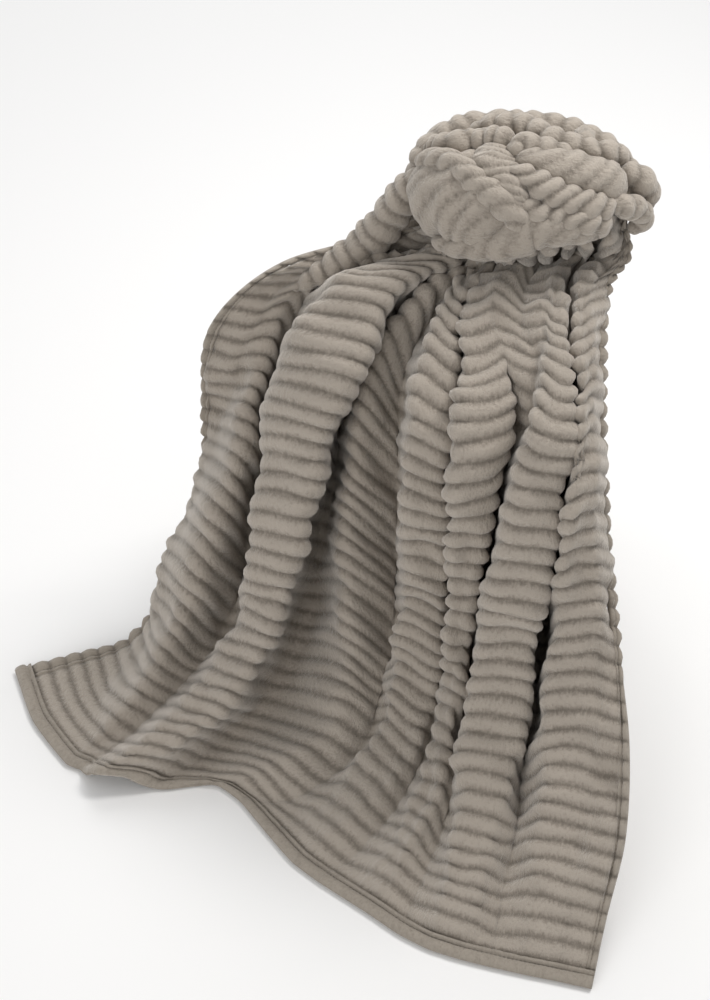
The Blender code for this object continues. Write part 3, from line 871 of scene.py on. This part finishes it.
ROLLS = (
    FoldRoll("lobe", (
        (0.100, 0.188, 0.580, 0.024), (0.126, 0.168, 0.581, 0.040), (0.152, 0.152, 0.578, 0.050),
        (0.176, 0.135, 0.575, 0.048), (0.197, 0.116, 0.575, 0.034), (0.211, 0.104, 0.575, 0.018),
    ), ribs=0.62, pitch=0.023, skew=1.5),
    FoldRoll("lobe_rim", (
        (0.104, 0.188, 0.602, 0.009), (0.122, 0.166, 0.619, 0.012), (0.141, 0.150, 0.624, 0.013),
        (0.156, 0.132, 0.620, 0.014), (0.172, 0.117, 0.613, 0.015), (0.190, 0.106, 0.604, 0.016),
        (0.205, 0.099, 0.592, 0.015), (0.212, 0.094, 0.577, 0.013), (0.207, 0.092, 0.562, 0.010),
    ), ribs=0.75, pitch=0.021, skew=0.6),
    FoldRoll("collar", (
        (0.120, 0.128, 0.542, 0.010), (0.148, 0.109, 0.545, 0.012), (0.175, 0.104, 0.551, 0.017),
        (0.201, 0.101, 0.561, 0.021), (0.224, 0.104, 0.572, 0.024), (0.248, 0.101, 0.574, 0.021),
        (0.272, 0.102, 0.569, 0.016), (0.297, 0.106, 0.561, 0.010),
    ), ribs=0.55, pitch=0.024, skew=0.6),
    FoldRoll("fan", (
        (0.175, 0.171, 0.631, 0.018), (0.183, 0.153, 0.621, 0.025), (0.186, 0.140, 0.616, 0.025),
        (0.193, 0.128, 0.612, 0.023), (0.203, 0.113, 0.608, 0.018), (0.216, 0.100, 0.597, 0.013),
    ), ribs=0.8, pitch=0.0115, skew=1.2),
    FoldRoll("band", (
        (0.206, 0.144, 0.634, 0.014), (0.230, 0.142, 0.625, 0.021), (0.252, 0.141, 0.617, 0.025),
        (0.276, 0.141, 0.609, 0.027), (0.300, 0.146, 0.601, 0.027), (0.325, 0.156, 0.596, 0.021),
    ), ribs=0.60, pitch=0.024, skew=0.9),
    FoldRoll("scallops", (
        (0.197, 0.130, 0.632, 0.009), (0.214, 0.121, 0.624, 0.013), (0.233, 0.115, 0.614, 0.016),
        (0.252, 0.111, 0.605, 0.017), (0.271, 0.110, 0.598, 0.016), (0.290, 0.113, 0.591, 0.016),
        (0.313, 0.122, 0.586, 0.014),
    ), ribs=1.15, pitch=0.0185, skew=0.5),
    FoldRoll("under", (
        (0.210, 0.103, 0.603, 0.013), (0.230, 0.099, 0.594, 0.013), (0.249, 0.099, 0.590, 0.013),
        (0.268, 0.101, 0.583, 0.014), (0.288, 0.108, 0.575, 0.015), (0.308, 0.119, 0.570, 0.017),
    ), ribs=0.95, pitch=0.019, skew=0.4),
    FoldRoll("lip", (
        (0.306, 0.118, 0.590, 0.011), (0.328, 0.132, 0.581, 0.013), (0.344, 0.150, 0.562, 0.013),
        (0.342, 0.152, 0.549, 0.012), (0.332, 0.146, 0.540, 0.009),
    ), ribs=0.6, pitch=0.018),
    FoldRoll("right_fold", (
        (0.318, 0.165, 0.605, 0.013), (0.338, 0.166, 0.596, 0.015), (0.350, 0.170, 0.576, 0.015),
        (0.346, 0.176, 0.552, 0.013),
    ), ribs=0.7, pitch=0.019),
    FoldRoll("top_back", (
        (0.160, 0.212, 0.626, 0.011), (0.184, 0.213, 0.631, 0.014), (0.203, 0.206, 0.635, 0.015),
        (0.222, 0.197, 0.638, 0.015), (0.237, 0.181, 0.639, 0.014), (0.252, 0.168, 0.638, 0.013),
        (0.271, 0.166, 0.634, 0.012), (0.291, 0.168, 0.628, 0.012), (0.311, 0.173, 0.619, 0.013),
        (0.333, 0.192, 0.602, 0.012),
    )),
    FoldRoll("top_left", (
        (0.112, 0.203, 0.606, 0.010), (0.125, 0.200, 0.612, 0.013), (0.140, 0.184, 0.625, 0.014),
        (0.155, 0.183, 0.630, 0.014), (0.170, 0.190, 0.634, 0.011),
    ), ribs=0.9, pitch=0.018),
    FoldRoll("top_mid", (
        (0.160, 0.176, 0.630, 0.011), (0.176, 0.180, 0.634, 0.014), (0.191, 0.174, 0.636, 0.015),
        (0.206, 0.163, 0.638, 0.012),
    ), ribs=0.8, pitch=0.017),
    FoldRoll("second", (
        (0.200, 0.146, 0.639, 0.009), (0.214, 0.158, 0.638, 0.014), (0.233, 0.157, 0.636, 0.014),
        (0.248, 0.152, 0.635, 0.012), (0.268, 0.152, 0.632, 0.010),
    ), ribs=0.8, pitch=0.022),
    FoldRoll("shoulder_fold", (
        (0.118, 0.180, 0.596, 0.014), (0.098, 0.186, 0.572, 0.018), (0.080, 0.186, 0.544, 0.020),
        (0.062, 0.184, 0.516, 0.020), (0.036, 0.184, 0.490, 0.018), (0.004, 0.184, 0.466, 0.014),
        (-0.030, 0.182, 0.444, 0.008),
    ), ribs=0.9, pitch=0.0185),
    FoldRoll("back_roll", (
        (0.098, 0.205, 0.592, 0.016), (0.140, 0.232, 0.606, 0.019), (0.200, 0.243, 0.612, 0.020),
        (0.262, 0.238, 0.608, 0.020), (0.318, 0.215, 0.594, 0.018), (0.345, 0.190, 0.578, 0.012),
    ), ribs=0.9),
    FoldRoll("back_middle", (
        (0.088, 0.200, 0.560, 0.015), (0.135, 0.243, 0.572, 0.020), (0.205, 0.260, 0.576, 0.022),
        (0.275, 0.250, 0.572, 0.021), (0.330, 0.215, 0.562, 0.017), (0.348, 0.190, 0.552, 0.012),
    ), ribs=0.9, skew=0.5),
    FoldRoll("back_low", (
        (0.090, 0.190, 0.532, 0.012), (0.140, 0.238, 0.540, 0.017), (0.210, 0.256, 0.543, 0.019),
        (0.280, 0.244, 0.540, 0.017), (0.330, 0.200, 0.532, 0.012),
    ), ribs=0.9),
)


@dataclass
class Bundle:
    """The gathered cloth on top, as rolled folds tucked against each other."""

    rolls: tuple
    spine_steps: int = 24            # points read in each span of a spine
    rings_a_rib: int = 8
    around: int = 40                 # points round a ring
    up: tuple = (0.0, -0.5, 0.8)     # the seam where a roll's grid is joined faces away from here
    blunt: int = 6                   # how blunt a roll's ends are
    least_radius: float = 0.0004
    puff: float = 0.8                # how puffed the ribs are
    rib_height: float = 0.0042
    full_pitch: float = 0.016        # ribs closer together than this are lower
    stagger: float = 0.37            # how far one roll's ribs are ahead of the last roll's, in ribs
    girth: float = 0.02              # what a radian round a roll counts as for its ripples, in metres
    waver: tuple = (0.12, 0.05)      # depth, in ribs, and wavelength of the ribs' wandering
    uneven: tuple = (0.07, 0.05)     # depth, as a share of the radius, and wavelength of its unevenness

    def build(self, material: bpy.types.Material) -> list:
        """Build every roll.

        Args:
            material: The pile fabric.

        Returns:
            The objects.
        """
        pieces = []
        for place, roll in enumerate(self.rolls):
            mesh = self._roll_mesh(roll, place)
            piece = add_piece(f"bundle_{roll.name}", mesh, material)
            pieces.append(piece)
        return pieces

    def _roll_mesh(self, roll: FoldRoll, place: int) -> bpy.types.Mesh:
        """Sweep one roll.

        Args:
            roll: The roll.
            place: Its number, which seeds its unevenness.

        Returns:
            The mesh.
        """
        spine = smooth_curve(np.array(roll.spine), self.spine_steps)
        steps = np.linalg.norm(np.diff(spine[:, :3], axis=0), axis=1)
        ways = np.concatenate([[0.0], np.cumsum(steps)])
        rings = int(ways[-1] / roll.pitch * self.rings_a_rib) + self.rings_a_rib
        way = np.linspace(0.0, ways[-1], rings)
        line = np.stack([np.interp(way, ways, spine[:, axis]) for axis in range(4)], axis=1)
        line, size = line[:, :3], line[:, 3]
        ahead = unit(np.gradient(line, axis=0))
        up = unit(np.array(self.up) - ahead * (ahead @ np.array(self.up))[:, None])
        aside = np.cross(ahead, up)
        turn = math.pi + np.linspace(0.0, 2 * math.pi, self.around, endpoint=False)
        cap = np.sqrt(np.clip(1 - (2 * (way / way[-1]) - 1) ** self.blunt, 0.0, 1.0))
        where = (way[:, None], turn[None, :] * self.girth)
        rib_place = way[:, None] / roll.pitch + roll.skew * np.sin(turn)[None, :] + self.stagger * place
        rib_place = rib_place + Ripple(*self.waver, seed=40 + place).over(*where)
        rib = rib_profile(rib_place, self.puff)
        uneven = 1 + Ripple(*self.uneven, seed=60 + place).over(*where)
        height = self.rib_height * min(1.0, roll.pitch / self.full_pitch) * roll.ribs
        radius = (size * cap)[:, None] * uneven + height * (rib - 0.5) * cap[:, None]
        radius = np.maximum(radius, self.least_radius)
        ring = up[:, None] * np.cos(turn)[None, :, None] + aside[:, None] * np.sin(turn)[None, :, None]
        points = line[:, None] + ring * radius[..., None]
        # rolls with weaker ribs get less of the painted groove shade
        rib = rib * roll.ribs + PLAIN_RIB * (1 - roll.ribs)
        return self._tube_mesh(roll.name, points, way, turn * float(size.mean()), rib)

    @staticmethod
    def _tube_mesh(
        name: str, points: np.ndarray, way: np.ndarray, around: np.ndarray, rib: np.ndarray
    ) -> bpy.types.Mesh:
        """A closed tube mesh: a grid of cloth rolled up, joined and capped.

        Args:
            name: The mesh's name.
            points: Rings by points round each ring by 3.
            way: The distance along the roll of each ring.
            around: The distance round the roll of each point.
            rib: How high on its rib each point is.

        Returns:
            The mesh.
        """
        around = np.append(around, 2 * around[-1] - around[-2])
        flat = np.stack(np.broadcast_arrays(around[None, :], way[:, None]), axis=-1)
        points = np.concatenate([points, points[:, :1]], axis=1)
        rib = np.concatenate([rib, rib[:, :1]], axis=1)
        build = cloth_build()
        lay_grid(build, points, flat, rib)
        bmesh.ops.remove_doubles(build, verts=build.verts, dist=1e-7)
        bmesh.ops.holes_fill(build, edges=[edge for edge in build.edges if edge.is_boundary], sides=0)
        bmesh.ops.recalc_face_normals(build, faces=build.faces)
        return finished_mesh(build, f"bundle_{name}")


def node_group(name: str, inputs: tuple, outputs: tuple) -> tuple:
    """Start a shader node group.

    Args:
        name: The group's name.
        inputs: (name, socket type, default) of each input.
        outputs: (name, socket type) of each output.

    Returns:
        The tree, its input node and its output node.
    """
    tree = bpy.data.node_groups.new(name, "ShaderNodeTree")
    for title, kind, default in inputs:
        socket = tree.interface.new_socket(name=title, in_out="INPUT", socket_type=kind)
        socket.default_value = default
    for title, kind in outputs:
        tree.interface.new_socket(name=title, in_out="OUTPUT", socket_type=kind)
    return tree, tree.nodes.new("NodeGroupInput"), tree.nodes.new("NodeGroupOutput")


def add_node(tree: bpy.types.NodeTree, kind: str, **settings: object) -> bpy.types.Node:
    """Add a shader node.

    Args:
        tree: The node tree.
        kind: The node's type.
        **settings: Properties of the node.

    Returns:
        The node.
    """
    node = tree.nodes.new(kind)
    for key, value in settings.items():
        setattr(node, key, value)
    return node


def add_math(tree: bpy.types.NodeTree, operation: str, *values: object) -> bpy.types.NodeSocket:
    """Add a Math node.

    Args:
        tree: The node tree.
        operation: The operation.
        *values: A socket or a number for each input.

    Returns:
        The node's output socket.
    """
    node = add_node(tree, "ShaderNodeMath", operation=operation)
    for socket, value in zip(node.inputs, values):
        if isinstance(value, (int, float)):
            socket.default_value = value
        else:
            tree.links.new(value, socket)
    return node.outputs[0]


def add_noise(
    tree: bpy.types.NodeTree,
    vector: bpy.types.NodeSocket,
    scale: float,
    detail: float = 2.0,
    roughness: float = 0.5,
) -> bpy.types.NodeSocket:
    """Add a noise texture.

    Args:
        tree: The node tree.
        vector: The socket with the place.
        scale: The noise's scale.
        detail: Its detail.
        roughness: Its roughness.

    Returns:
        The factor's socket.
    """
    node = add_node(tree, "ShaderNodeTexNoise", noise_dimensions="3D")
    node.inputs["Scale"].default_value = scale
    node.inputs["Detail"].default_value = detail
    node.inputs["Roughness"].default_value = roughness
    tree.links.new(vector, node.inputs["Vector"])
    return node.outputs["Fac"]


def pile_group() -> bpy.types.NodeTree:
    """The pile: short strokes along the cloth, tufts, and painted shade in the grooves.

    Returns:
        The node group, with outputs Color, Roughness and Normal.
    """
    tree, start, end = node_group(
        "plush_pile",
        (
            ("Crest Color", "NodeSocketColor", (0.40, 0.36, 0.31, 1.0)),
            # the second colour is painted shade for the bottom of the grooves
            ("Painted Groove Shade", "NodeSocketColor", (0.13, 0.11, 0.09, 1.0)),
            ("Pile Depth", "NodeSocketFloat", 0.0024),
        ),
        (("Color", "NodeSocketColor"), ("Roughness", "NodeSocketFloat"), ("Normal", "NodeSocketVector")),
    )
    place = add_node(tree, "ShaderNodeTexCoord")
    cloth = add_node(tree, "ShaderNodeUVMap", uv_map="cloth")
    stretch = add_node(tree, "ShaderNodeMapping")
    stretch.inputs["Scale"].default_value = (1.0, 0.42, 1.0)
    tree.links.new(cloth.outputs["UV"], stretch.inputs["Vector"])
    strokes = add_noise(tree, stretch.outputs["Vector"], scale=360.0, detail=3.0, roughness=0.65)
    tufts = add_noise(tree, place.outputs["Object"], scale=210.0, detail=4.0, roughness=0.7)
    patches = add_noise(tree, place.outputs["Object"], scale=34.0)
    rib = add_node(tree, "ShaderNodeAttribute", attribute_name="rib")
    stroke_depth = add_math(tree, "MULTIPLY", strokes, 0.45)
    depth = add_math(tree, "ADD", stroke_depth, add_math(tree, "MULTIPLY", tufts, 0.55))
    shade = add_math(tree, "MULTIPLY_ADD", depth, 2.2, -1.1)
    patch_shade = add_math(tree, "MULTIPLY_ADD", patches, 0.34, -0.17)
    # painted shade: the lower a point sits on its rib, the nearer its colour is to the groove shade colour;
    # the pile's random tone and patches are added to that
    level = add_math(tree, "ADD", add_math(tree, "ADD", rib.outputs["Fac"], shade), patch_shade)
    ramp = add_node(tree, "ShaderNodeMapRange", interpolation_type="SMOOTHSTEP")
    ramp.inputs["From Min"].default_value = -0.15
    ramp.inputs["From Max"].default_value = 0.95
    tree.links.new(level, ramp.inputs["Value"])
    mix = add_node(tree, "ShaderNodeMix", data_type="RGBA")
    tree.links.new(ramp.outputs["Result"], mix.inputs["Factor"])
    tree.links.new(start.outputs["Painted Groove Shade"], mix.inputs["A"])
    tree.links.new(start.outputs["Crest Color"], mix.inputs["B"])
    bump = add_node(tree, "ShaderNodeBump")
    bump.inputs["Strength"].default_value = 0.85
    tree.links.new(start.outputs["Pile Depth"], bump.inputs["Distance"])
    tree.links.new(depth, bump.inputs["Height"])
    rough = add_math(tree, "MULTIPLY_ADD", depth, -0.1, 0.98)
    tree.links.new(mix.outputs["Result"], end.inputs["Color"])
    tree.links.new(rough, end.inputs["Roughness"])
    tree.links.new(bump.outputs["Normal"], end.inputs["Normal"])
    return tree


@dataclass(frozen=True)
class FleeceFinish:
    """A plush finish, whose groove colour is painted shade for the grooves between the ribs."""

    name: str
    crest: tuple
    # groove: the colour of the painted shade at the bottom of the grooves
    groove: tuple
    pile_depth: float
    sheen: float
    sheen_roughness: float = 0.45
    sheen_tint: tuple = (1.0, 0.96, 0.91)
    gloss: float = 0.12

    def material(self, group: bpy.types.NodeTree) -> bpy.types.Material:
        """Make the material.

        Args:
            group: The pile's node group.

        Returns:
            The material.
        """
        material = bpy.data.materials.new(self.name)
        material.use_nodes = True
        tree = material.node_tree
        shader = tree.nodes["Principled BSDF"]
        pile = add_node(tree, "ShaderNodeGroup", node_tree=group)
        pile.inputs["Crest Color"].default_value = (*self.crest, 1.0)
        pile.inputs["Painted Groove Shade"].default_value = (*self.groove, 1.0)
        pile.inputs["Pile Depth"].default_value = self.pile_depth
        tree.links.new(pile.outputs["Color"], shader.inputs["Base Color"])
        tree.links.new(pile.outputs["Roughness"], shader.inputs["Roughness"])
        tree.links.new(pile.outputs["Normal"], shader.inputs["Normal"])
        shader.inputs["Sheen Weight"].default_value = self.sheen
        shader.inputs["Sheen Roughness"].default_value = self.sheen_roughness
        shader.inputs["Sheen Tint"].default_value = (*self.sheen_tint, 1.0)
        shader.inputs["Specular IOR Level"].default_value = self.gloss
        return material


@dataclass(frozen=True)
class PlainFinish:
    """A woven or spun finish: one colour with fine noise."""

    name: str
    color: tuple
    roughness: float
    grain: float                     # the noise's scale
    dark: float = 0.78               # what the colour is multiplied by between the grains
    relief: float = 0.0003

    def material(self) -> bpy.types.Material:
        """Make the material.

        Returns:
            The material.
        """
        material = bpy.data.materials.new(self.name)
        material.use_nodes = True
        tree = material.node_tree
        shader = tree.nodes["Principled BSDF"]
        place = add_node(tree, "ShaderNodeTexCoord")
        grain = add_noise(tree, place.outputs["Object"], self.grain)
        mix = add_node(tree, "ShaderNodeMix", data_type="RGBA")
        mix.inputs["A"].default_value = (*(self.dark * channel for channel in self.color), 1.0)
        mix.inputs["B"].default_value = (*self.color, 1.0)
        tree.links.new(grain, mix.inputs["Factor"])
        tree.links.new(mix.outputs["Result"], shader.inputs["Base Color"])
        bump = add_node(tree, "ShaderNodeBump")
        bump.inputs["Strength"].default_value = 0.3
        bump.inputs["Distance"].default_value = self.relief
        tree.links.new(grain, bump.inputs["Height"])
        tree.links.new(bump.outputs["Normal"], shader.inputs["Normal"])
        shader.inputs["Roughness"].default_value = self.roughness
        return material


@dataclass
class Studio:
    """The floor, the light and the camera."""

    elevation: float = 38.0
    distance: float = 2.6
    lens: float = 85.0
    target: tuple = (0.0388, 0.0271, 0.27)
    floor_size: float = 30.0         # half the length of its side
    floor_level: float = -0.0005
    floor_grey: float = 0.90
    world_strength: float = 0.50

    def build(self) -> None:
        """Build the studio."""
        self._floor()
        self._world()
        self._light("key", (0.9, 0.5, 1.9), power=24.0, size=0.7, color=(1.0, 0.985, 0.965))
        self._light("fill", (-1.7, -3.4, 1.4), power=56.0, size=2.2, color=(1.0, 0.99, 0.975))
        self._light("back", (-0.2, 3.4, 3.0), power=44.0, size=2.0, color=(1.0, 1.0, 1.0))
        self._camera()

    def _floor(self) -> None:
        """A wide pale floor."""
        build = bmesh.new()
        bmesh.ops.create_grid(build, x_segments=1, y_segments=1, size=self.floor_size)
        mesh = bpy.data.meshes.new("floor")
        build.to_mesh(mesh)
        build.free()
        material = bpy.data.materials.new("floor_paint")
        material.use_nodes = True
        shader = material.node_tree.nodes["Principled BSDF"]
        shader.inputs["Base Color"].default_value = (*[self.floor_grey] * 3, 1.0)
        shader.inputs["Roughness"].default_value = 0.9
        mesh.materials.append(material)
        floor = bpy.data.objects.new("floor", mesh)
        floor.location = (0.0, 0.0, self.floor_level)
        bpy.context.scene.collection.objects.link(floor)

    def _world(self) -> None:
        """Even pale light from all round."""
        world = bpy.data.worlds.new("studio")
        world.use_nodes = True
        background = world.node_tree.nodes["Background"]
        background.inputs["Color"].default_value = (1.0, 1.0, 1.0, 1.0)
        background.inputs["Strength"].default_value = self.world_strength
        bpy.context.scene.world = world

    def _light(self, name: str, place: tuple, power: float, size: float, color: tuple) -> None:
        """Add a square area light aimed at the throw.

        Args:
            name: Its name.
            place: Where it stands.
            power: Its power in watts.
            size: The length of its side.
            color: Its colour.
        """
        light = bpy.data.lights.new(name, "AREA")
        light.energy = power
        light.size = size
        light.color = color
        lamp = bpy.data.objects.new(name, light)
        lamp.location = place
        lamp.rotation_euler = (Vector(self.target) - Vector(place)).to_track_quat("-Z", "Y").to_euler()
        bpy.context.scene.collection.objects.link(lamp)

    def _camera(self) -> None:
        """Look down at the front of the throw."""
        data = bpy.data.cameras.new("camera")
        data.lens = self.lens
        camera = bpy.data.objects.new("camera", data)
        angle = math.radians(self.elevation)
        away = Vector((0.0, -math.cos(angle), math.sin(angle)))
        camera.location = Vector(self.target) + away * self.distance
        camera.rotation_euler = (-away).to_track_quat("-Z", "Y").to_euler()
        bpy.context.scene.collection.objects.link(camera)
        bpy.context.scene.camera = camera


def main() -> None:
    """Build the scene."""
    logging.basicConfig(level=logging.INFO, format="%(name)s: %(message)s")
    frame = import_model()
    group = pile_group()
    # in each finish, groove is the colour of the painted shade in the rib grooves
    pile_finish = FleeceFinish(
        "pile_fabric_plush",
        crest=(0.390, 0.344, 0.295),
        groove=(0.185, 0.160, 0.133),
        pile_depth=0.0045,
        sheen=0.60,
    )
    hem_finish = FleeceFinish(
        "hem_fabric_plush",
        crest=(0.330, 0.292, 0.248),
        groove=(0.190, 0.166, 0.139),
        pile_depth=0.0026,
        sheen=0.45,
    )
    pile = pile_finish.material(group)
    hem_cloth = hem_finish.material(group)
    thread = PlainFinish("polyester_thread", (0.24, 0.21, 0.18), roughness=0.55, grain=900.0).material()
    ribbon = PlainFinish("satin_ribbon", (0.80, 0.79, 0.76), roughness=0.4, grain=1400.0).material()
    sheet = DrapedSheet()
    panel = RibbedPanel(sheet).build(pile)
    extras = [Hem(sheet, edge).build(hem_cloth) for edge in Edge]
    extras += [Stitching(sheet, edge, Stitch()).build(thread) for edge in Edge]
    extras += Bundle(ROLLS).build(pile)
    label = frame["nodes"]["care_label"]
    label.data.materials.clear()
    label.data.materials.append(ribbon)
    Studio().build()
    bpy.context.scene.view_settings.view_transform = "Standard"


if __name__ == "__main__":
    main()
